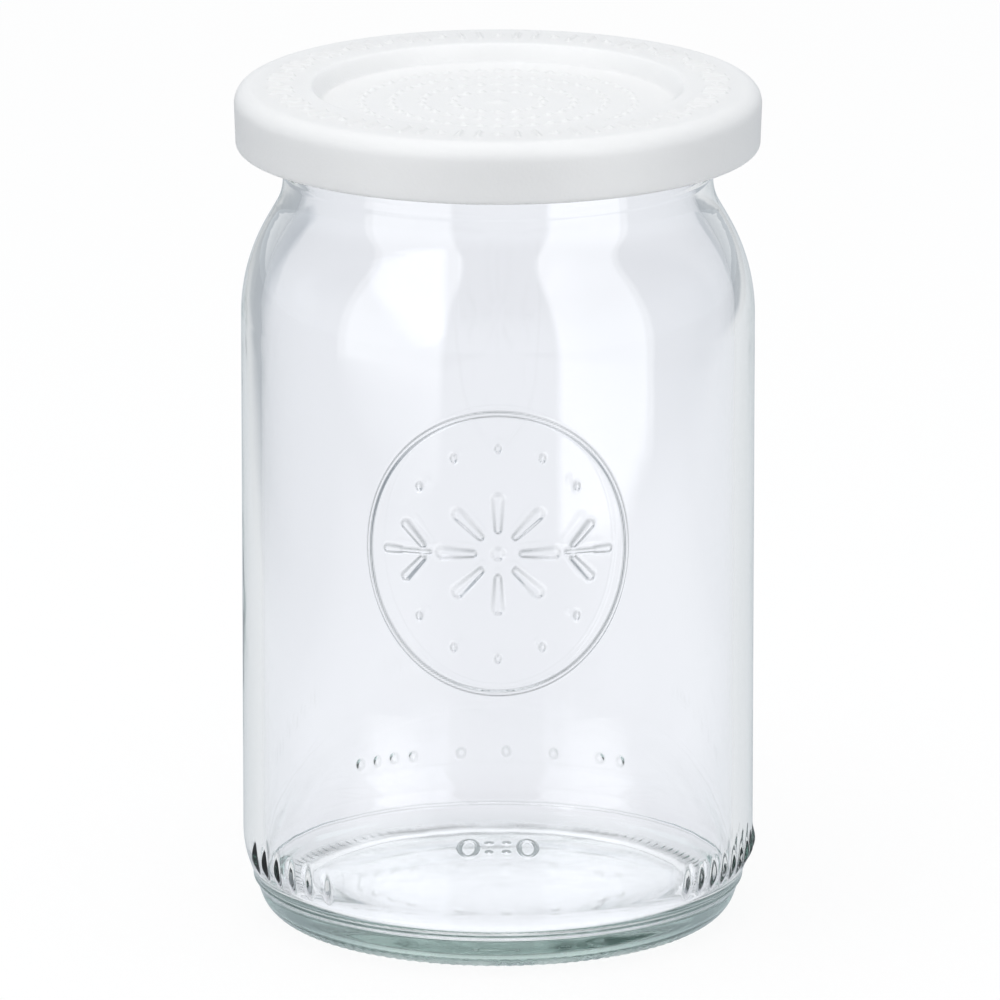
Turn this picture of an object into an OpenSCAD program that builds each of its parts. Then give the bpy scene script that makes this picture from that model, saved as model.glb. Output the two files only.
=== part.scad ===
// Canning jar with a flared rim and a one-piece push-on lid.
// The jar stands on z = 0 with its axis on Z. Every section is drawn as [radius, height].

/* [Jar] */
// Height of the glass, from the table to the top of the rim
jar_h = 114.5; // [95:0.5:150]
// Clear diameter of the mouth
mouth_d = 53; // [45:0.5:90]
// Thickness of the glass in the neck, shoulder and body
wall = 2.75; // [2.2:0.05:3.5]
// Distance that the body stands out from the neck
shoulder_step = 5.75; // [4:0.05:10]

/* [Shoulder] */
// Outward curve where the body turns in
shoulder_r = 25.4; // [18:0.2:30]
// Straight stretch between the two curves
shoulder_flat = 2.7; // [0.5:0.1:5]
// Inward curve below the neck
neck_curve_r = 7.8; // [6:0.1:12]
// Height of the neck and rim above the shoulder
finish_h = 11.35; // [10.5:0.05:16]

/* [Heel and base] */
// Curve from the body into the heel
heel_upper_r = 12.5; // [8:0.5:16]
// Straight stretch of the heel
heel_flat = 5.05; // [3:0.05:8]
// Curve from the heel to the table
heel_lower_r = 4.35; // [3:0.05:6]
// Angle of the straight stretch off the vertical
heel_lean = 19.6; // [12:0.2:26]
// Width of the flat ring that the jar stands on
bearing_w = 1.9; // [1:0.1:3]
// Height of the hollow under the base
pushup_h = 0.6; // [0.4:0.1:1.5]
// Rounding between the flat ring and the hollow
pushup_edge_r = 3; // [1:0.5:5]
// Height of the inside floor at its foot
floor_h = 4.2; // [3.4:0.1:7]
// Rise of the inside floor to its centre
floor_rise = 0.3; // [0.2:0.1:1.5]
// Inside curve from the floor to the wall
floor_curve_r = 4.5; // [3.5:0.25:12]

/* [Rim] */
// Distance that the rim flange stands out from the neck
rim_reach = 4.25; // [3.4:0.05:7]
// Depth of the flange at its edge
rim_t = 3.4; // [3:0.1:4]
// Rounding of the upper edge of the flange
rim_edge_r = 1.2; // [0.6:0.1:1.4]
// Rounding of the lower edge of the flange
rim_lower_r = 0.8; // [0.4:0.1:1.2]
// Curve from the neck to the underside of the flange
rim_root_r = 1.6; // [1:0.1:2]
// Rounding of the inner edge of the mouth
mouth_edge_r = 2; // [1:0.1:2.2]

/* [Lid] */
// Height of the lid, from the skirt's edge to its flat top
lid_h = 8.4; // [7.5:0.1:9]
// Thickness of the plate over the rim
lid_plate_t = 1.6; // [1.2:0.1:2.2]
// Thickness of the skirt
skirt_t = 1.55; // [1:0.05:2.5]
// Rounding of the top outer edge
lid_edge_r = 2.4; // [1.5:0.1:2.8]
// Inward lean of the skirt's outer face
skirt_lean = 2; // [0:0.5:3]
// Rounding of the skirt's lower edge
skirt_edge_r = 0.7; // [0.4:0.05:0.75]
// Depth of the round recess in the top
recess_h = 2.4; // [1.4:0.1:3.2]
// Width of the sloping side of the recess
recess_slope_w = 1.3; // [0.8:0.1:2]
// Rounding of the recess, at its floor and at its upper edge
recess_edge_r = 0.6; // [0.3:0.1:0.8]
// Thickness of the recess floor
recess_t = 1.5; // [1:0.1:2]
// Thickness of the wall between the recess and the plug's face
plug_wall = 0.9; // [0.7:0.1:1.4]
// Depth of the plug below the rim
plug_h = 4.3; // [4.2:0.1:6]
// Thickness of the plug's lip
plug_lip_t = 1.3; // [0.9:0.1:1.8]

/* [Lid fit] */
// Gap between the plug and the mouth
plug_gap = 0.3; // [0.2:0.05:0.5]
// Gap between the skirt and the rim flange
skirt_gap = 0.8; // [0.6:0.05:1.2]
// Gap between the snap bead and the rim flange
bead_gap = 0.3; // [0.2:0.05:0.5]
// Height of the snap bead
bead_h = 2.2; // [1.5:0.1:2.6]
// Height of the bead's foot above the skirt's edge
bead_lift = 1; // [0.8:0.1:1.4]

/* [Hidden] */
$fn = 64;

// Radii on the centre line
mouth_r = mouth_d / 2;
neck_r = mouth_r + wall;
body_r = neck_r + shoulder_step;
rim_r = neck_r + rim_reach;

// Shoulder: the lean at which both curves and the straight stretch span the step in radius
curve_sum = shoulder_r + neck_curve_r;
shoulder_lean = acos((curve_sum - shoulder_step) / norm([curve_sum, shoulder_flat]))
    - atan2(shoulder_flat, curve_sum);
neck_z = jar_h - finish_h;
body_top_z = neck_z - curve_sum * sin(shoulder_lean) - shoulder_flat * cos(shoulder_lean);

// Heel: stacked up from the table and then set inwards from the body
heel_turn = 90 - heel_lean;
heel_flat_z = heel_lower_r * (1 - cos(heel_turn));
heel_top_z = heel_flat_z + heel_flat * cos(heel_lean) + heel_upper_r * sin(heel_lean);
bearing_out_r = body_r - heel_upper_r * (1 - cos(heel_lean)) - heel_flat * sin(heel_lean)
    - heel_lower_r * sin(heel_turn);
bearing_in_r = bearing_out_r - bearing_w;

// Rim: the underside of the flange rises to the lower rounding of its edge
rim_under_z = jar_h - rim_t;

// Lid sizes that follow the rim, the mouth and the gaps
lid_top_z = jar_h + lid_plate_t;
skirt_z = lid_top_z - lid_h;
skirt_in_r = rim_r + skirt_gap;
lid_r = skirt_in_r + skirt_t;
plug_r = mouth_r - plug_gap;
recess_top_r = plug_r - plug_wall;
recess_r = recess_top_r - recess_slope_w;
recess_z = lid_top_z - recess_h;
plug_z = jar_h - plug_h;

// Points on an arc about centre c, from angle a to angle b
function arc(c, r, a, b, n = 8) = [for (i = [0 : n]) c + r * [cos(a + (b - a) * i / n), sin(a + (b - a) * i / n)]];

// Points of a shallow dome that rises by h from radius r to the axis, with its foot at height z
function dome(r, z, h, n = 8) =
    let (big_r = (r * r + h * h) / (2 * h), half = asin(r / big_r))
    arc([0, z + h - big_r], big_r, 90 - half, 90, n);

// Points of the arc that rounds the corner at b between a and c
function rounded(a, b, c, r, n = 5) =
    let (u = (a - b) / norm(a - b), v = (c - b) / norm(c - b),
         half = acos(u * v) / 2,
         centre = b + (u + v) / norm(u + v) * r / sin(half),
         from = b + u * r / tan(half) - centre,
         to = b + v * r / tan(half) - centre,
         start = atan2(from[1], from[0]),
         turn = atan2(cross(from, to), from * to))
    arc(centre, r, start, start + turn, n);

function reversed(points) = [for (i = [len(points) - 1 : -1 : 0]) points[i]];

// Shoulder from the top of the body up to the neck, set inwards by inset
function shoulder(inset) = concat(
    arc([body_r - shoulder_r, body_top_z], shoulder_r - inset, 0, shoulder_lean),
    arc([neck_r + neck_curve_r, neck_z], neck_curve_r + inset, 180 + shoulder_lean, 180)
);

// Hollow under the base and the flat ring round it, from the axis outwards
function underside() =
    let (hollow = reversed(dome(bearing_in_r, 0, pushup_h, 6)))
    concat(
        [for (i = [0 : len(hollow) - 2]) hollow[i]],
        rounded(hollow[len(hollow) - 2], [bearing_in_r, 0], [bearing_out_r, 0], pushup_edge_r)
    );

function heel() = concat(
    arc([bearing_out_r, heel_lower_r], heel_lower_r, -90, -heel_lean),
    arc([body_r - heel_upper_r, heel_top_z], heel_upper_r, -heel_lean, 0, 5)
);

function rim() = concat(
    arc([neck_r + rim_root_r, rim_under_z - rim_root_r], rim_root_r, 180, 90, 6),
    arc([rim_r - rim_lower_r, rim_under_z + rim_lower_r], rim_lower_r, -90, 0, 5),
    arc([rim_r - rim_edge_r, jar_h - rim_edge_r], rim_edge_r, 0, 90, 6),
    arc([mouth_r + mouth_edge_r, jar_h - mouth_edge_r], mouth_edge_r, 90, 180, 6)
);

function inside() = concat(
    reversed(shoulder(wall)),
    arc([body_r - wall - floor_curve_r, floor_h + floor_curve_r], floor_curve_r, 0, -90),
    dome(body_r - wall - floor_curve_r, floor_h, floor_rise, 6)
);

module glass_jar() {
    color([0.80, 0.90, 0.86, 0.45])
        rotate_extrude()
            polygon(concat(
                underside(),
                heel(),
                shoulder(0),
                rim(),
                inside()
            ));
}

// Floor and sloping side of the recess, from the axis outwards
function lid_recess() =
    let (foot = [recess_r, recess_z], brink = [recess_top_r, lid_top_z])
    concat(
        [[0, recess_z]],
        rounded([0, recess_z], foot, brink, recess_edge_r, 4),
        rounded(foot, brink, [lid_r, lid_top_z], recess_edge_r, 4)
    );

// Outer face of the lid, from its flat top to the skirt's edge
function lid_outside() =
    let (lean_top = [lid_r - lid_edge_r, lid_top_z - lid_edge_r],
         drop = lean_top[1] - skirt_z - skirt_edge_r,
         foot_r = lid_r - skirt_edge_r - drop * tan(skirt_lean))
    concat(
        arc(lean_top, lid_edge_r, 90, -skirt_lean),
        arc([foot_r, skirt_z + skirt_edge_r], skirt_edge_r, -skirt_lean, -90, 5)
    );

// Snap bead on the inside of the skirt, a shallow rounded swelling
function bead() =
    let (swell = skirt_gap - bead_gap,
         bead_r = (bead_h * bead_h / 4 + swell * swell) / (2 * swell),
         half = asin(bead_h / 2 / bead_r))
    arc([skirt_in_r - swell + bead_r, skirt_z + bead_lift + bead_h / 2], bead_r, 180 + half, 180 - half);

// Underside of the lid: the plate on the rim, the root of the plug, its lip and the recess floor
function lid_underside() =
    let (root_r = mouth_edge_r + plug_gap,
         root_turn = asin(mouth_edge_r / root_r),
         lip_r = plug_lip_t / 2)
    concat(
        [[skirt_in_r, jar_h]],
        arc([mouth_r + mouth_edge_r, jar_h - mouth_edge_r], root_r, 180 - root_turn, 180, 5),
        arc([plug_r - lip_r, plug_z + lip_r], lip_r, 0, -180, 6),
        [[plug_r - plug_lip_t, recess_z - recess_t], [0, recess_z - recess_t]]
    );

module snap_lid() {
    color([0.93, 0.94, 0.95])
        rotate_extrude()
            polygon(concat(
                lid_recess(),
                lid_outside(),
                bead(),
                lid_underside()
            ));
}

glass_jar();
snap_lid();
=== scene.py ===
import math

import bmesh
import bpy
import numpy as np
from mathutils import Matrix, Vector


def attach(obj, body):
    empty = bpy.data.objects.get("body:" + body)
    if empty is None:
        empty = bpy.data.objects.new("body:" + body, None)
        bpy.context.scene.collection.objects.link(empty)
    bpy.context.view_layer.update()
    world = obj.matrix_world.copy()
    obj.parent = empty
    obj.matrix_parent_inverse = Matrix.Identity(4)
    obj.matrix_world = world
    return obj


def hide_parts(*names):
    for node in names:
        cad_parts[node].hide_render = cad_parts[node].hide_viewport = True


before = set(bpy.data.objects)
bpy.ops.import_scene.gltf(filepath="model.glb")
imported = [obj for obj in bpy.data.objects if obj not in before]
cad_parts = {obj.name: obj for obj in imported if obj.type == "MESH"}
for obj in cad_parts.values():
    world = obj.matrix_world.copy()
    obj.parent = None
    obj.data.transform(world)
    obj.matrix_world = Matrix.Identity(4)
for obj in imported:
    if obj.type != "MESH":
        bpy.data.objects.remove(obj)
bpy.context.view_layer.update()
print("frame loaded")

mm = 0.001  # every size of a piece is in millimetres, the scene is in metres
turns = 144  # steps round the axis, before a zone is made finer
least = 1e-6  # lengths under this count as nothing, in millimetres
slack = 1e-9  # how far past a run's ends a station still counts as on it, in millimetres
mergeDistance = 1e-7  # in metres


# Outlines: a section is a chain of lines and arcs, drawn as radius and height

class Section:
    def __init__(self, r, z, outward=1):
        self.runs = []
        self.length = 0.0
        self.pen = np.array([r, z], float)
        self.outward = outward  # 1 where the solid lies on the left of the walk, -1 on the right

    def add(self, kind, size, step, data):
        # step is the longest stretch that the run is cut into
        count = max(1, math.ceil(size / step - least))
        self.runs.append({"kind": kind, "from": self.length, "size": size, "count": count, "data": data})
        self.length += size

    def line(self, r, z, step):
        end = np.array([r, z], float)
        size = float(np.linalg.norm(end - self.pen))
        if size > least:
            self.add("line", size, step, (self.pen, (end - self.pen) / size))
        self.pen = end

    def arc(self, r, z, radius, start, end, step, joint=5):
        # joint is the step on the straight stretch that leads to the arc
        centre = np.array([r, z], float)
        first, last = math.radians(start), math.radians(end)
        begin = centre + radius * np.array([math.cos(first), math.sin(first)])
        self.line(begin[0], begin[1], joint)
        self.add("arc", abs(last - first) * radius, step, (centre, radius, first, last))
        self.pen = centre + radius * np.array([math.cos(last), math.sin(last)])

    def marks(self):
        out = [0.0]
        for run in self.runs:
            out += [run["from"] + run["size"] * (i + 1) / run["count"] for i in range(run["count"])]
        return np.array(out)

    def at(self, mark):
        # the places on the section at these stations, and the way the surface faces there
        place = np.zeros(mark.shape + (2,))
        facing = np.zeros(mark.shape + (2,))
        for run in self.runs:
            here = (mark >= run["from"] - slack) & (mark <= run["from"] + run["size"] + slack)
            t = mark[here] - run["from"]
            if run["kind"] == "line":
                start, along = run["data"]
                place[here] = start + t[:, None] * along
                facing[here] = (along[1], -along[0])
            else:
                centre, radius, first, last = run["data"]
                angle = first + (last - first) * t / run["size"]
                spoke = np.stack([np.cos(angle), np.sin(angle)], -1)
                place[here] = centre + radius * spoke
                facing[here] = math.copysign(1, last - first) * spoke
        return place, facing * self.outward


def spun(section):
    bm = bmesh.new()
    station = bm.verts.layers.float.new("station")  # how far along the section a vertex lies
    marks = section.marks()
    chain = []
    for mark, (r, z) in zip(marks, section.at(marks)[0]):
        vert = bm.verts.new((r * mm, 0, z * mm))
        vert[station] = mark
        chain.append(vert)
    edges = [bm.edges.new(pair) for pair in zip(chain, chain[1:])]
    bmesh.ops.spin(bm, geom=chain + edges, cent=(0, 0, 0), axis=(0, 0, 1), angle=2 * math.pi,
                   steps=turns, use_merge=True)
    bmesh.ops.remove_doubles(bm, verts=bm.verts, dist=mergeDistance)
    bmesh.ops.recalc_face_normals(bm, faces=bm.faces)
    return bm


def bearing(x, y):
    return math.degrees(math.atan2(x, -y))  # 0 faces the camera, positive to its right


def between(value, span):
    return span[0] < value < span[1]


def finer(bm, cuts, chosen, around=False):
    # chosen says, from a face's bearing, station and height, whether it is cut up
    # around cuts one way only, so that the faces get narrower round the axis
    station = bm.verts.layers.float["station"]
    faces = []
    for face in bm.faces:
        middle = face.calc_center_median()
        mark = sum(v[station] for v in face.verts) / len(face.verts)
        if chosen(bearing(middle.x, middle.y), mark, middle.z / mm):
            faces.append(face)
    edges = list(dict.fromkeys(edge for face in faces for edge in face.edges))
    if around:
        edges = [edge for edge in edges if abs(edge.verts[0][station] - edge.verts[1][station]) < least]
    bmesh.ops.subdivide_edges(bm, edges=edges, cuts=cuts, use_grid_fill=True)


def settled(bm, name, section, relief):
    # every vertex goes exactly on the section at its station, plus the relief's height there
    mesh = bpy.data.meshes.new(name)
    bm.to_mesh(mesh)
    bm.free()
    co = np.zeros(len(mesh.vertices) * 3)
    mesh.vertices.foreach_get("co", co)
    co = co.reshape(-1, 3)
    mark = np.zeros(len(mesh.vertices))
    mesh.attributes["station"].data.foreach_get("value", mark)
    place, facing = section.at(np.clip(mark, 0, section.length))
    angle = np.arctan2(co[:, 0], -co[:, 1])
    raised = relief(np.degrees(angle), place[:, 0], place[:, 1], facing)
    place = (place + raised[:, None] * facing) * mm
    co = np.stack([place[:, 0] * np.sin(angle), -place[:, 0] * np.cos(angle), place[:, 1]], -1)
    mesh.vertices.foreach_set("co", co.ravel())
    mesh.attributes.remove(mesh.attributes["station"])
    mesh.polygons.foreach_set("use_smooth", np.ones(len(mesh.polygons), bool))
    mesh.update()
    # steep is 0 on the plain surface and grows where relief tilts it
    normal = np.zeros(len(mesh.vertices) * 3)
    mesh.vertex_normals.foreach_get("vector", normal)
    plain = np.stack([facing[:, 0] * np.sin(angle), -facing[:, 0] * np.cos(angle), facing[:, 1]], -1)
    steep = mesh.attributes.new("steep", "FLOAT", "POINT")
    steep.data.foreach_set("value", np.clip(1 - np.sum(normal.reshape(-1, 3) * plain, -1), 0, 1))
    piece = bpy.data.objects.new(name, mesh)
    bpy.context.scene.collection.objects.link(piece)
    print(name, "triangles", sum(len(p.vertices) - 2 for p in mesh.polygons))
    return piece


# Relief: each shape gives the height it adds at the points u, v of a surface, in millimetres

sideways = 0.3  # the outside of a wall faces outwards by more than this share
level = 0.9  # a flat top or base faces up or down by more than this share


def swell(away, height):
    # away is 0 on the middle line of a stroke and 1 at its foot
    return height * (0.5 + 0.5 * np.cos(math.pi * np.clip(np.abs(away), 0, 1)))


def stroke(u, v, start, end, wideStart, wideEnd, height):
    du, dv = end[0] - start[0], end[1] - start[1]
    t = np.clip(((u - start[0]) * du + (v - start[1]) * dv) / (du * du + dv * dv), 0, 1)
    away = np.hypot(u - start[0] - t * du, v - start[1] - t * dv)
    return swell(away / (wideStart + t * (wideEnd - wideStart)), height)


def bead(u, v, centreU, centreV, halfU, halfV, height):
    return swell(np.hypot((u - centreU) / halfU, (v - centreV) / halfV), height)


def oval(u, v, halfU, halfV, wide, height):
    return swell((np.hypot(u / halfU, v / halfV) - 1) * (halfU + halfV) / 2 / wide, height)


# Jar

jarSizes = {
    "height": 114.5, "mouth": 53, "wall": 2.75, "shoulderStep": 5.75, "rimReach": 4.25,
    "shoulder": 25.4, "shoulderFlat": 2.7, "neckCurve": 7.8, "finish": 11.35,
    "heelUpper": 12.5, "heelFlat": 5.05, "heelLower": 4.35, "heelLean": 19.6,
    "standWidth": 1.9, "pushup": 0.6, "pushupEdge": 3,
    "floor": 4.2, "floorRise": 0.3, "floorCurve": 4.5,
    "rimDepth": 3.4, "rimEdge": 1.2, "rimLower": 0.8, "rimRoot": 1.6, "mouthEdge": 2,
    # the oval ring on the front, with petals, leaves and small beads in it
    "emblem": {
        "height": 59.5, "halfWide": 18.0, "halfHigh": 19.4, "line": 0.55, "raised": 0.42, "bold": 0.5,
        "hub": 1.5, "petals": 8, "petalInner": 3.3, "petalOuter": 7.6, "petalHalf": (0.8, 1.4),
        # strokes on both sides: from, to, then half the width at both ends
        "stem": ((9.3, 0), (13.6, 0), (0.5, 0.5)),
        "leaf": ((10.2, 0.9), (12.6, 3.6), (0.7, 1.05)),
        "tip": ((13.4, 0), (15.2, 0), (0.75, 0.95)),
        "beadTurns": (0, 26, 52), "beadOval": (13.6, 14.6), "beadHalf": (0.75, 1.05),
    },
    "marks": {
        "partingLine": 5.3, "partingHalf": 0.45, "partingRaised": 0.2,
        "neckLine": 104.4, "neckHalf": 0.6, "neckRaised": 0.07,
        # upright ovals at the heel, at their bearings, and round dots at the back, counted from behind
        "ovals": [-72, -66, -60, -54, -48, -42, 48, 52.8, 57.6, 62.4, 67.2, 72, 76.8, 81.6, 86.4],
        "ovalMiddle": 10.1, "ovalHalf": (0.95, 2.9), "ovalRaised": 0.5,
        "dots": [-36, -31, -26, -21, -9, 2, 13.5, 25.5, 31],
        "dotMiddle": 12.8, "dotHalf": (1.15, 1.3), "dotRaised": 0.45,
        # short grooves round the foot
        "ridges": 120, "ridgeDepth": 0.28, "ridgeMiddle": 30.4, "ridgeHalf": 1.6, "ridgeTop": 3.5,
        # a pair of rings and four dots sunk in the base, behind the axis
        "baseRadius": 18, "ringSide": 4.2, "ringHalf": (1.3, 4.2), "ringLine": 0.5, "ringDepth": 0.35,
        "speckSide": 1.2, "speckUp": 2.4, "speckHalf": (0.6, 1.2), "speckDepth": 0.3,
    },
    # where the mesh is finer, and by how many cuts: sides are bearings, stations lie along the section;
    # the steps up the body change at lowTop and midTop
    "zones": {
        "partingHalf": 0.6, "lowTop": 16, "midTop": 36,
        "emblemCuts": 7, "emblemSide": 31.3, "emblemHigh": 21,
        "ovalCuts": 4, "ovalHeights": (7, 13.2), "ovalSides": ((-75, -39), (45, 90)),
        "dotCuts": 4, "dotHeights": (11.3, 14.3), "dotSide": 141,
        "ridgeCuts": 4, "ridgeStations": (28.6, 35), "ridgeTop": 3.6,
        "baseCuts": 4, "baseStations": (12, 24), "baseSide": 154,
    },
}


def dome(r, z, h):
    # the centre's height, the radius and half the angle of a dome that rises by h from radius r
    big = (r * r + h * h) / (2 * h)
    return z + h - big, big, math.degrees(math.asin(r / big))


def jarSection(k):
    mouth = k["mouth"] / 2
    neck = mouth + k["wall"]
    body = neck + k["shoulderStep"]
    rim = neck + k["rimReach"]
    # the lean at which both curves and the straight stretch span the step in radius
    curves = k["shoulder"] + k["neckCurve"]
    lean = math.acos((curves - k["shoulderStep"]) / math.hypot(curves, k["shoulderFlat"]))
    lean = math.degrees(lean - math.atan2(k["shoulderFlat"], curves))
    neckZ = k["height"] - k["finish"]
    bodyZ = neckZ - curves * math.sin(math.radians(lean)) - k["shoulderFlat"] * math.cos(math.radians(lean))
    # the heel is stacked up from the table and set inwards from the body
    tilt = math.radians(k["heelLean"])
    heelZ = (k["heelLower"] * (1 - math.sin(tilt)) + k["heelFlat"] * math.cos(tilt)
             + k["heelUpper"] * math.sin(tilt))
    standOut = (body - k["heelUpper"] * (1 - math.cos(tilt)) - k["heelFlat"] * math.sin(tilt)
                - k["heelLower"] * math.cos(tilt))
    standIn = standOut - k["standWidth"]
    # hollow of the base, then an arc that touches it and the flat ring
    s = Section(0, k["pushup"])
    z0, big, _ = dome(standIn, 0, k["pushup"])
    edge = k["pushupEdge"]
    edgeR = math.sqrt((big + edge) ** 2 - (edge - z0) ** 2)
    touch = math.degrees(math.atan2(edge - z0, edgeR))
    s.arc(0, z0, big, 90, touch, step=1.2)
    s.arc(edgeR, edge, edge, touch - 180, -90, step=0.25)
    s.line(standOut, 0, step=0.5)
    # heel, with a finer stretch for the parting line
    s.arc(standOut, k["heelLower"], k["heelLower"], -90, -k["heelLean"], step=0.55)
    slope = np.array([math.sin(tilt), math.cos(tilt)])
    parting = k["marks"]["partingLine"]
    zone = k["zones"]["partingHalf"]
    for height, step in ((parting - zone, 0.6), (parting + zone, 0.13)):
        s.line(*(s.pen + slope * (height - s.pen[1]) / slope[1]), step)
    s.arc(body - k["heelUpper"], heelZ, k["heelUpper"], -k["heelLean"], 0, step=0.9, joint=0.9)
    # body and shoulder
    s.line(body, k["zones"]["lowTop"], step=0.9)
    s.line(body, k["zones"]["midTop"], step=3)
    s.line(body, bodyZ, step=1.8)
    s.arc(body - k["shoulder"], bodyZ, k["shoulder"], 0, lean, step=1.2)
    s.arc(neck + k["neckCurve"], neckZ, k["neckCurve"], 180 + lean, 180, step=0.7, joint=1.4)
    # rim
    rootZ = k["height"] - k["rimDepth"] - k["rimRoot"]
    s.arc(neck + k["rimRoot"], rootZ, k["rimRoot"], 180, 90, step=0.35, joint=0.25)
    s.arc(rim - k["rimLower"], k["height"] - k["rimDepth"] + k["rimLower"], k["rimLower"], -90, 0, step=0.3)
    s.arc(rim - k["rimEdge"], k["height"] - k["rimEdge"], k["rimEdge"], 0, 90, step=0.35)
    s.arc(mouth + k["mouthEdge"], k["height"] - k["mouthEdge"], k["mouthEdge"], 90, 180, step=0.4)
    # inside
    s.arc(neck + k["neckCurve"], neckZ, k["neckCurve"] + k["wall"], 180, 180 + lean, step=0.8, joint=2)
    s.arc(body - k["shoulder"], bodyZ, k["shoulder"] - k["wall"], lean, 0, step=1.2, joint=1.4)
    inner = body - k["wall"] - k["floorCurve"]
    s.arc(inner, k["floor"] + k["floorCurve"], k["floorCurve"], 0, -90, step=0.7, joint=4)
    z0, big, half = dome(inner, k["floor"], k["floorRise"])
    s.arc(0, z0, big, 90 - half, 90, step=2)
    return s


def emblemRelief(u, v):
    k = jarSizes["emblem"]
    out = oval(u, v, k["halfWide"], k["halfHigh"], k["line"], k["raised"])
    for i in range(k["petals"]):
        turn = i * 2 * math.pi / k["petals"]
        along = np.array([math.sin(turn), math.cos(turn)])
        petal = stroke(u, v, along * k["petalInner"], along * k["petalOuter"], *k["petalHalf"], k["bold"])
        out = np.maximum(out, petal)
    out = np.maximum(out, bead(u, v, 0, 0, k["hub"], k["hub"], k["bold"]))
    side = np.abs(u)  # the leaves and beads are the same left and right
    for shape, height in (("stem", k["raised"]), ("tip", k["bold"])):
        start, end, half = k[shape]
        out = np.maximum(out, stroke(side, v, start, end, *half, height))
    start, end, half = k["leaf"]
    for lift in (-1, 1):
        leaf = stroke(side, v, (start[0], start[1] * lift), (end[0], end[1] * lift), *half, k["bold"])
        out = np.maximum(out, leaf)
        for turn in k["beadTurns"]:
            centreU = k["beadOval"][0] * math.sin(math.radians(turn))
            centreV = k["beadOval"][1] * lift * math.cos(math.radians(turn))
            out = np.maximum(out, bead(side, v, centreU, centreV, *k["beadHalf"], k["raised"]))
    return out


def jarRelief(angle, r, z, facing):
    k = jarSizes["marks"]
    out = np.zeros_like(r)
    outer = facing[:, 0] > sideways
    across = np.radians(angle[outer]) * r[outer]
    out[outer] = emblemRelief(across, z[outer] - jarSizes["emblem"]["height"])
    out[outer] += swell((z[outer] - k["partingLine"]) / k["partingHalf"], k["partingRaised"])
    out[outer] += swell((z[outer] - k["neckLine"]) / k["neckHalf"], k["neckRaised"])
    for place in k["ovals"]:
        across = np.radians(angle[outer] - place) * r[outer]
        out[outer] += bead(across, z[outer], 0, k["ovalMiddle"], *k["ovalHalf"], k["ovalRaised"])
    rear = (angle % 360) - 180  # positive to the camera's left, so the dots are turned round
    for place in k["dots"]:
        across = np.radians(rear[outer] + place) * r[outer]
        out[outer] += bead(across, z[outer], 0, k["dotMiddle"], *k["dotHalf"], k["dotRaised"])
    foot = z < k["ridgeTop"]
    groove = 0.5 - 0.5 * np.cos(np.radians(angle[foot]) * k["ridges"])
    out[foot] -= swell((r[foot] - k["ridgeMiddle"]) / k["ridgeHalf"], k["ridgeDepth"]) * groove
    base = facing[:, 1] < -level
    u = np.radians(rear[base]) * r[base]
    v = r[base] - k["baseRadius"]
    for side in (-1, 1):
        out[base] -= oval(u - k["ringSide"] * side, v, *k["ringHalf"], k["ringLine"], k["ringDepth"])
        for up in (-1, 1):
            centre = (k["speckSide"] * side, k["speckUp"] * up)
            out[base] -= bead(u, v, *centre, *k["speckHalf"], k["speckDepth"])
    return out


section = jarSection(jarSizes)
bm = spun(section)
halfWay = section.marks()[-1] / 2  # stations beyond this are on the inside of the glass
zones = jarSizes["zones"]
finer(bm, zones["emblemCuts"], lambda side, mark, z: (
    abs(side) < zones["emblemSide"] and mark < halfWay
    and abs(z - jarSizes["emblem"]["height"]) < zones["emblemHigh"]))
finer(bm, zones["ovalCuts"], lambda side, mark, z: (
    between(z, zones["ovalHeights"]) and mark < halfWay
    and any(between(side, span) for span in zones["ovalSides"])))
finer(bm, zones["dotCuts"], lambda side, mark, z: (
    between(z, zones["dotHeights"]) and mark < halfWay and abs(side) > zones["dotSide"]))
finer(bm, zones["ridgeCuts"], lambda side, mark, z: (
    between(mark, zones["ridgeStations"]) and z < zones["ridgeTop"]), around=True)
finer(bm, zones["baseCuts"], lambda side, mark, z: (
    between(mark, zones["baseStations"]) and abs(side) > zones["baseSide"]))
jar = settled(bm, "glassBody", section, jarRelief)
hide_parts("glass_jar")
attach(jar, "jar")
print("jar made")


# Lid

lidSizes = {
    "height": 8.4, "plate": 1.6, "skirt": 1.55, "edge": 2.4, "skirtLean": 2, "skirtEdge": 0.7,
    "recess": 2.4, "recessSlope": 1.3, "recessEdge": 0.6, "recessPlate": 1.5,
    "plugWall": 0.9, "plugDepth": 4.3, "plugLip": 1.3,
    "plugGap": 0.3, "skirtGap": 0.8, "beadGap": 0.3, "beadHeight": 2.2, "beadLift": 1,
    "marks": {
        # round the top, every third mark is a diamond and the others are bars
        "bars": 72, "barInner": 28.3, "barOuter": 31.2, "barHalf": (0.45, 0.45), "barRaised": 0.38,
        "diamondEvery": 3, "diamondHalf": 1.0, "diamondSquash": 0.8,
        # rings of dashes on the floor of the recess: radius and number
        "dashRings": [(6.2, 16), (10.4, 26), (14.6, 38), (18.6, 48)],
        "dashHalf": (1.05, 0.6), "dashRaised": 0.38, "dimpleHalf": 1.3,
    },
    "zones": {"topCuts": 4, "topStations": (28.7, 33.6), "floorCuts": 2, "floorStations": (4.5, 20.5)},
}


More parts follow.
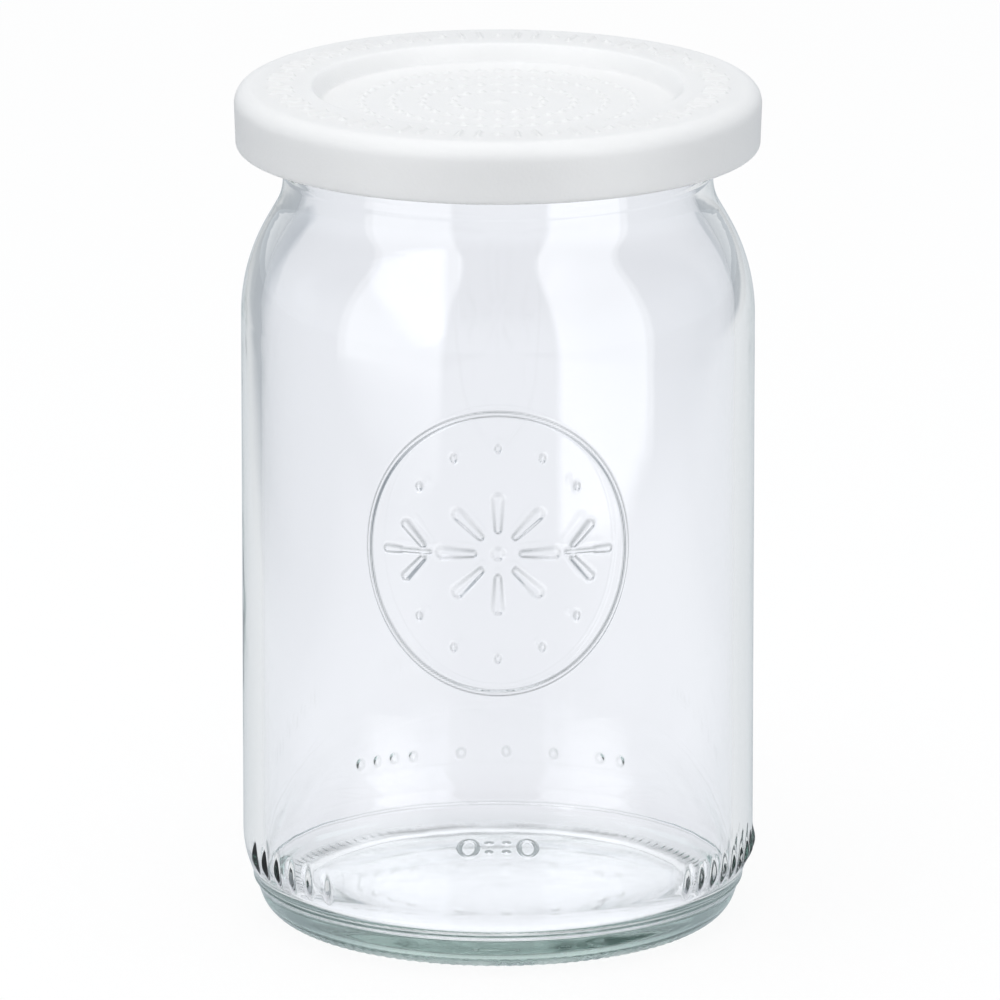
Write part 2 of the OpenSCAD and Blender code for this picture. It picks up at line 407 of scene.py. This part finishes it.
def lidSection(k, j):
    rim = j["mouth"] / 2 + j["wall"] + j["rimReach"]
    top = j["height"] + k["plate"]
    foot = top - k["height"]
    inner = rim + k["skirtGap"]
    outer = inner + k["skirt"]
    plug = j["mouth"] / 2 - k["plugGap"]
    brink = plug - k["plugWall"]
    floorR = brink - k["recessSlope"]
    floorZ = top - k["recess"]
    # recess, from the axis outwards
    s = Section(0, floorZ, outward=-1)
    slope = math.degrees(math.atan2(k["recess"], k["recessSlope"]))
    e = k["recessEdge"]
    cut = e * math.tan(math.radians(slope / 2))
    s.arc(floorR - cut, floorZ + e, e, -90, -90 + slope, step=0.15, joint=0.9)
    s.arc(brink + cut, top - e, e, 90 + slope, 90, step=0.15, joint=0.5)
    # top edge and skirt
    s.arc(outer - k["edge"], top - k["edge"], k["edge"], 90, -k["skirtLean"], step=0.35, joint=0.8)
    drop = top - k["edge"] - foot - k["skirtEdge"]
    footR = outer - k["skirtEdge"] - drop * math.tan(math.radians(k["skirtLean"]))
    s.arc(footR, foot + k["skirtEdge"], k["skirtEdge"], -k["skirtLean"], -90, step=0.25, joint=1.5)
    # snap bead on the inside of the skirt
    lift = k["skirtGap"] - k["beadGap"]
    beadR = (k["beadHeight"] ** 2 / 4 + lift ** 2) / (2 * lift)
    beadZ = foot + k["beadLift"] + k["beadHeight"] / 2
    half = math.degrees(math.asin(k["beadHeight"] / 2 / beadR))
    s.arc(inner - lift + beadR, beadZ, beadR, 180 + half, 180 - half, step=0.3, joint=0.5)
    # underside of the plate, root of the plug, its lip and the underside of the recess
    s.line(inner, j["height"], step=1.5)
    rootR = j["mouthEdge"] + k["plugGap"]
    rootZ = j["height"] - j["mouthEdge"]
    rootTurn = math.degrees(math.asin(j["mouthEdge"] / rootR))
    s.arc(j["mouth"] / 2 + j["mouthEdge"], rootZ, rootR, 180 - rootTurn, 180, step=0.4, joint=1.5)
    lip = k["plugLip"] / 2
    s.arc(plug - lip, j["height"] - k["plugDepth"] + lip, lip, 0, -180, step=0.25, joint=1)
    s.line(plug - k["plugLip"], floorZ - k["recessPlate"], step=0.8)
    s.line(0, floorZ - k["recessPlate"], step=2.5)
    return s


def lidRelief(angle, r, z, facing):
    k = lidSizes["marks"]
    out = np.zeros_like(r)
    face = facing[:, 1] > level  # the flat top and the floor of the recess
    turn, radius = np.radians(angle[face]), r[face]
    pitch = 2 * math.pi / k["bars"]
    nearest = np.round(turn / pitch)
    u = (turn - nearest * pitch) * radius
    bars = stroke(u, radius, (0, k["barInner"]), (0, k["barOuter"]), *k["barHalf"], k["barRaised"])
    away = np.abs(u) + np.abs(radius - (k["barInner"] + k["barOuter"]) / 2) * k["diamondSquash"]
    diamonds = swell(away / k["diamondHalf"], k["barRaised"])
    out[face] = np.where(nearest % k["diamondEvery"] == 0, diamonds, bars)
    for middle, count in k["dashRings"]:
        pitch = 2 * math.pi / count
        u = (turn - np.round(turn / pitch) * pitch) * radius
        out[face] += bead(u, radius, 0, middle, *k["dashHalf"], k["dashRaised"])
    out[face] += swell(radius / k["dimpleHalf"], k["dashRaised"])
    return out


section = lidSection(lidSizes, jarSizes)
bm = spun(section)
zones = lidSizes["zones"]
finer(bm, zones["topCuts"], lambda side, mark, z: between(mark, zones["topStations"]))
finer(bm, zones["floorCuts"], lambda side, mark, z: between(mark, zones["floorStations"]))
lid = settled(bm, "lidShell", section, lidRelief)
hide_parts("snap_lid")
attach(lid, "lid")
print("lid made")


# Materials

class Tone:
    # a socket of a node tree; arithmetic on it adds Math nodes
    def __init__(self, sheet, socket):
        self.sheet, self.socket = sheet, socket

    def math(self, operation, *values):
        made = self.sheet.node("ShaderNodeMath", {"operation": operation}, dict(enumerate(values)))
        return self.sheet.out(made)

    def __add__(self, other):
        return self.math("ADD", self, other)

    def __radd__(self, other):
        return self.math("ADD", other, self)

    def __sub__(self, other):
        return self.math("SUBTRACT", self, other)

    def __rsub__(self, other):
        return self.math("SUBTRACT", other, self)

    def __mul__(self, other):
        return self.math("MULTIPLY", self, other)

    def __rmul__(self, other):
        return self.math("MULTIPLY", other, self)

    def __rpow__(self, other):
        return self.math("POWER", other, self)

    def most(self, other):
        return self.math("MAXIMUM", self, other)

    def clamped(self):
        return self.math("MINIMUM", self.most(0), 1)

    def root(self):
        return self.math("SQRT", self)

    def size(self):
        return self.math("ABSOLUTE", self)


class Sheet:
    # one node tree, started empty
    def __init__(self, owner):
        owner.use_nodes = True
        self.tree = owner.node_tree
        self.tree.nodes.clear()

    def node(self, kind, settings=None, sockets=None):
        made = self.tree.nodes.new(kind)
        for name, value in (settings or {}).items():
            setattr(made, name, value)
        for name, value in (sockets or {}).items():
            if isinstance(value, Tone):
                self.tree.links.new(value.socket, made.inputs[name])
            else:
                made.inputs[name].default_value = value
        return made

    def out(self, made, name=0):
        return Tone(self, made.outputs[name])

    def split(self, vector):
        made = self.node("ShaderNodeSeparateXYZ", {}, {0: vector})
        return [self.out(made, axis) for axis in range(3)]

    def coordinates(self, kind):
        return self.out(self.node("ShaderNodeTexCoord"), kind)

    def ray(self, question):
        return self.out(self.node("ShaderNodeLightPath"), question)

    def steep(self):
        return self.out(self.node("ShaderNodeAttribute", {"attribute_name": "steep"}), "Fac")

    def noise(self, scale, detail=2.0, stretch=(1, 1, 1)):
        # scale is in features per metre of the piece
        sockets = {"Vector": self.coordinates("Object"), "Scale": stretch}
        place = self.out(self.node("ShaderNodeMapping", {}, sockets))
        sockets = {"Vector": place, "Scale": scale, "Detail": detail}
        return self.out(self.node("ShaderNodeTexNoise", {}, sockets))

    def mixed(self, factor, first, second):
        # inputs 6 and 7 and output 2 are the ones for colours
        made = self.node("ShaderNodeMix", {"data_type": "RGBA"}, {0: factor, 6: first, 7: second})
        return self.out(made, 2)

    def bump(self, height, depth, under=None):
        # depth is in metres, from the lowest to the highest point; under is a bump that this one lies on
        sockets = {"Height": height, "Distance": depth, "Strength": 1.0}
        if under is not None:
            sockets["Normal"] = under
        return self.out(self.node("ShaderNodeBump", {}, sockets))


glassLook = {
    "tint": (0.965, 0.965, 0.992, 1), "index": 1.52, "haze": 0.004, "hazeScale": 165,
    "paintedEdgeShade": (0.20, 0.22, 0.23, 1), "edgeShadeStart": 0.05, "edgeShadeGain": 4.5,  # painted shade on the steep sides of the relief: its colour, and where and how fast it sets in
    "thickColour": (0.05, 0.62, 0.45, 1), "thickness": 6.0,
    # the unevenness of the surface: broad waves with a finer ripple on them
    "wave": 0.00011, "waveScale": 55, "waveDetail": 1.5, "waveStretch": (1, 1, 0.4),
    "rippleShare": 0.12, "rippleScale": 220, "rippleDetail": 1, "rippleStretch": (1, 1, 0.6),
    # the foot ring is frosted in patches: how rough, up to what height and from what radius
    "frost": 0.55, "frostTop": 0.0018, "frostInner": 0.0262, "frostEdge": 2000,
    "frostPatch": 160, "frostBias": 0.36, "frostGain": 6.0,
    "shadowTint": (0.93, 0.95, 0.95, 1),
}
plasticLook = {
    "white": (0.86, 0.86, 0.86, 1), "warm": (0.83, 0.83, 0.83, 1), "rough": 0.42, "roughSpread": 0.12,
    "index": 1.5, "soft": 0.4, "softDepth": 0.003,  # how much light goes into the plastic, and how far
    "grain": 0.00003, "grainScale": 2200, "grainDetail": 3, "wave": 0.00006, "waveScale": 90,
    "paintedCreaseShade": (0.60, 0.60, 0.60, 1), "creaseShadeGain": 1.6,  # painted shade on the steep sides of the relief, where occlusion would darken it
}


def pressedGlass(k):
    material = bpy.data.materials.new("pressedGlass")
    s = Sheet(material)
    ripple = s.noise(k["rippleScale"], k["rippleDetail"], k["rippleStretch"]) * k["rippleShare"]
    ripple = s.noise(k["waveScale"], k["waveDetail"], k["waveStretch"]) + ripple
    x, y, z = s.split(s.coordinates("Object"))
    radius = (x * x + y * y).root()
    foot = ((k["frostTop"] - z) * k["frostEdge"]).clamped()
    foot = foot * ((radius - k["frostInner"]) * k["frostEdge"]).clamped()
    foot = foot * ((s.noise(k["frostPatch"]) - k["frostBias"]) * k["frostGain"]).clamped()
    # the glass's own tint, with painted shade mixed in where the relief is steep
    tone = s.mixed(((s.steep() - k["edgeShadeStart"]) * k["edgeShadeGain"]).clamped(), k["tint"], k["paintedEdgeShade"])
    glass = s.node("ShaderNodeBsdfPrincipled", {}, {
        "Base Color": tone, "IOR": k["index"], "Transmission Weight": 1.0,
        "Roughness": s.noise(k["hazeScale"]) * k["haze"] + foot * k["frost"],
        "Normal": s.bump(ripple, k["wave"]),
    })
    clear = s.node("ShaderNodeBsdfTransparent", {}, {"Color": k["shadowTint"]})
    sockets = {0: s.ray("Is Shadow Ray"), 1: s.out(glass), 2: s.out(clear)}
    surface = s.node("ShaderNodeMixShader", {}, sockets)
    depth = s.node("ShaderNodeVolumeAbsorption", {}, {"Color": k["thickColour"], "Density": k["thickness"]})
    s.node("ShaderNodeOutputMaterial", {}, {"Surface": s.out(surface), "Volume": s.out(depth)})
    return material


def mouldedPlastic(k):
    material = bpy.data.materials.new("mouldedPlastic")
    s = Sheet(material)
    cloud = s.noise(k["waveScale"])
    grain = s.noise(k["grainScale"], k["grainDetail"])
    paint = s.mixed(cloud, k["white"], k["warm"])
    # the base colour has painted shade where the relief is steep
    shell = s.node("ShaderNodeBsdfPrincipled", {}, {
        "Base Color": s.mixed((s.steep() * k["creaseShadeGain"]).clamped(), paint, k["paintedCreaseShade"]),
        "Roughness": k["rough"] + (grain - 0.5) * k["roughSpread"], "IOR": k["index"],
        "Normal": s.bump(cloud, k["wave"], s.bump(grain, k["grain"])),
        "Subsurface Weight": k["soft"], "Subsurface Radius": (1, 1, 1), "Subsurface Scale": k["softDepth"],
    })
    s.node("ShaderNodeOutputMaterial", {}, {"Surface": s.out(shell)})
    return material


jar.data.materials.append(pressedGlass(glassLook))
lid.data.materials.append(mouldedPlastic(plasticLook))
print("materials made")


# Stage: floor, lamps, world and camera

studio = {  # lengths in metres
    # how white the backdrop is in reflections and through the glass, and what each reflection inside leaves
    "mirrorShare": 0.6, "glassShare": 0.96, "reflectLoss": 0.95,
    # seen through the glass, the backdrop falls off with height to this
    "farShare": 0.28, "farFall": 1.35,
    # in reflections it has this colour, and ends above the horizon: sine of its top, sharpness
    "mirrorTone": (0.84, 0.92, 1.0, 1), "bandTop": 0.50, "bandEdge": 3.2,
    # the paper under and behind the jar is this wide, and the glass shows what lies beside it as darker
    "paperLeft": -0.15, "paperRight": 0.30, "paperEdge": 14,
    "besideShare": 0.62, "besideTone": (0.90, 0.95, 1.0, 1),
    "besideLean": 0.3, "besideEdge": 2.5,  # the same for the backdrop: sine of where it starts, sharpness
    # a painted contact shadow: the dark ring where the jar touches the paper, broken up by noise, seen only
    # through the glass
    "ring": 0.0300, "ringHalf": 0.0022, "ringDepth": 0.5, "ringScale": 90, "ringStart": 0.4, "ringGain": 5,
    # a painted patch of light under the jar, standing in for the light the glass gathers; only rays through
    # the glass see it
    "paintedPool": 0.031, "poolEdge": 150, "poolGlow": 0.45,
    "floorGlow": 0.87, "floorPaint": 0.12, "floorBounce": 0.70, "floorRadius": 3.0, "floorSteps": 96,
    "ambient": 0.77,
    # softboxes on the floor: bearing, roll, distance, width, height, radiance, then how soft the sides,
    # the foot and the top are
    "boxes": [("boxLeft", -46, 4, 0.28, 0.26, 0.50, 1.35, (0.05, 0.065, 0.02)),
              ("boxRight", 45, -4, 0.25, 0.207, 0.50, 1.7, (0.05, 0.015, 0.02))],
    # low cards that lie in front of them: bearing, distance of the middle, width, length, radiance, softness
    "cards": [("cardLeft", -50, 0.19, 0.22, 0.22, 0.6, (0.2, 0.2, 0.2)),
              ("cardRight", 62, 0.19, 0.27, 0.22, 0.6, (0.2, 0.2, 0.2)),
              ("cardLeftLow", -43, 0.115, 0.07, 0.12, 1.2, (0.25, 0.25, 0.25)),
              ("cardRightLow", 38, 0.115, 0.075, 0.12, 1.2, (0.25, 0.25, 0.25))],
    "cardLift": 0.002,
    # the lamp above: place, size and radiance
    "top": ("boxTop", (-0.10, -0.28, 1.1), 0.9, 2.35),
    # how often light may go on inside the glass
    "bounces": {"max_bounces": 40, "glossy_bounces": 32, "transmission_bounces": 32},
}


def mirroredRay(s):
    # a ray that refracts counts as glossy too
    return s.ray("Is Glossy Ray") * (1 - s.ray("Is Transmission Ray"))


def backdropShare(s):
    # how much of the white backdrop a ray sees: all of it straight on, less after reflections
    seen = s.ray("Is Camera Ray").most(mirroredRay(s) * studio["mirrorShare"])
    through = s.ray("Is Transmission Ray") * (studio["reflectLoss"] ** s.ray("Glossy Depth"))
    return seen, through, s.ray("Is Diffuse Ray")


def backdropTint(s, beside):
    # beside is 0 on the paper and 1 on what lies beside it
    mirrored = s.mixed(mirroredRay(s), (1, 1, 1, 1), studio["mirrorTone"])
    return s.mixed(beside, mirrored, studio["besideTone"])


def paleFloor():
    material = bpy.data.materials.new("paleFloor")
    s = Sheet(material)
    seen, through, bounced = backdropShare(s)
    x, y, _ = s.split(s.coordinates("Object"))
    radius = (x * x + y * y).root()
    beside = ((studio["paperLeft"] - x) * studio["paperEdge"]).clamped()
    beside = beside + ((x - studio["paperRight"]) * studio["paperEdge"]).clamped()
    beside = beside * (1 - s.ray("Is Camera Ray"))
    # painted contact shadow round the foot, only for rays through the glass
    ring = (1 - (radius - studio["ring"]).size() * (1 / studio["ringHalf"])).clamped()
    ring = ring * ((s.noise(studio["ringScale"]) - studio["ringStart"]) * studio["ringGain"]).clamped()
    through = through * (1 - ring * studio["ringDepth"])
    seen = seen.most(through * studio["glassShare"]) * (1 - beside * (1 - studio["besideShare"]))
    level = seen * studio["floorPaint"] + bounced * studio["floorBounce"]
    paint = s.out(s.node("ShaderNodeCombineColor", {}, {0: level, 1: level, 2: level}))
    matte = s.node("ShaderNodeBsdfDiffuse", {}, {"Color": paint})
    # painted patch of light under the jar, seen through the glass
    paintedPool = ((studio["paintedPool"] - radius) * studio["poolEdge"]).clamped() * through
    glow = s.node("ShaderNodeEmission", {}, {
        "Color": backdropTint(s, beside),
        "Strength": seen * studio["floorGlow"] + paintedPool * studio["poolGlow"],
    })
    both = s.node("ShaderNodeAddShader", {}, {0: s.out(matte), 1: s.out(glow)})
    s.node("ShaderNodeOutputMaterial", {}, {"Surface": s.out(both)})
    return material


bm = bmesh.new()
bmesh.ops.create_circle(bm, cap_ends=True, segments=studio["floorSteps"], radius=studio["floorRadius"])
mesh = bpy.data.meshes.new("floor")
bm.to_mesh(mesh)
bm.free()
floor = bpy.data.objects.new("floor", mesh)
bpy.context.scene.collection.objects.link(floor)
floor.data.materials.append(paleFloor())

world = bpy.data.worlds.new("studio")
bpy.context.scene.world = world
s = Sheet(world)
seen, through, bounced = backdropShare(s)
aimX, _, aimZ = s.split(s.coordinates("Generated"))
band = ((studio["bandTop"] - aimZ) * studio["bandEdge"]).clamped()
far = (studio["glassShare"] - aimZ * studio["farFall"]).most(studio["farShare"])
beside = ((aimX.size() - studio["besideLean"]) * studio["besideEdge"]).clamped()
beside = beside * (1 - s.ray("Is Camera Ray"))
far = far * (1 - beside * (1 - studio["besideShare"]))
seen = (seen * band).most(s.ray("Is Camera Ray"))
seen = seen.most(through * far).most(bounced * studio["ambient"])
sky = s.node("ShaderNodeBackground", {}, {"Color": backdropTint(s, beside), "Strength": seen})
s.node("ShaderNodeOutputWorld", {}, {"Surface": s.out(sky)})


def softbox(name, place, turn, width, height, radiance, soft=None):
    # soft gives the share of the lamp's face that fades at the sides, at the foot and at the top
    light = bpy.data.lights.new(name, "AREA")
    light.shape = "RECTANGLE"
    light.size, light.size_y = width, height
    light.energy = radiance * width * height * math.pi  # watts of a lamp whose face shows at that radiance
    if soft:
        s = Sheet(light)
        across, up, _ = s.split(s.out(s.node("ShaderNodeNewGeometry"), "Parametric"))
        sides, foot, top = soft
        lit = (across * (1 - across) * (1 / sides)).clamped() * (up * (1 / foot)).clamped()
        lit = lit * ((1 - up) * (1 / top)).clamped()
        glow = s.node("ShaderNodeEmission", {}, {"Strength": lit})
        s.node("ShaderNodeOutputLight", {}, {"Surface": s.out(glow)})
    lamp = bpy.data.objects.new(name, light)
    lamp.location = place
    lamp.rotation_euler = turn
    lamp.visible_diffuse = soft is None  # the shaped lamps only show as reflections
    bpy.context.scene.collection.objects.link(lamp)
    return lamp


for name, side, roll, distance, width, height, radiance, soft in studio["boxes"]:
    turn = math.radians(side)
    softbox(name, (distance * math.sin(turn), -distance * math.cos(turn), height / 2),
            (math.pi / 2, math.radians(roll), turn), width, height, radiance, soft)
for name, side, distance, width, length, radiance, soft in studio["cards"]:
    turn = math.radians(side)
    card = softbox(name, (distance * math.sin(turn), -distance * math.cos(turn), studio["cardLift"]),
                   (math.pi, 0, turn), width, length, radiance, soft)
    card.visible_transmission = False  # only the reflection on the outside of the glass shows it
name, place, size, radiance = studio["top"]
top = softbox(name, place, Vector(place).to_track_quat("Z", "Y").to_euler(), size, size, radiance)
top.visible_glossy = False  # it would burn out the lid as seen from above

cameraFit = {
    "pitch": 14.65, "distance": 1.976, "aim": 0.058,
    "lens": 520.4, "sensor": 36, "shift": (0.002, -0.0013), "clipEnd": 20,
}
eye = bpy.data.cameras.new("camera")
eye.lens = cameraFit["lens"]
eye.sensor_width = cameraFit["sensor"]
eye.shift_x, eye.shift_y = cameraFit["shift"]
eye.clip_end = cameraFit["clipEnd"]
pitch = math.radians(cameraFit["pitch"])
camera = bpy.data.objects.new("camera", eye)
camera.location = (0, -cameraFit["distance"] * math.cos(pitch),
                   cameraFit["aim"] + cameraFit["distance"] * math.sin(pitch))
camera.rotation_euler = (math.pi / 2 - pitch, 0, 0)
bpy.context.scene.collection.objects.link(camera)
bpy.context.scene.camera = camera
bpy.context.scene.view_settings.view_transform = "Standard"
for name, count in studio["bounces"].items():
    setattr(bpy.context.scene.cycles, name, count)
print("stage made")
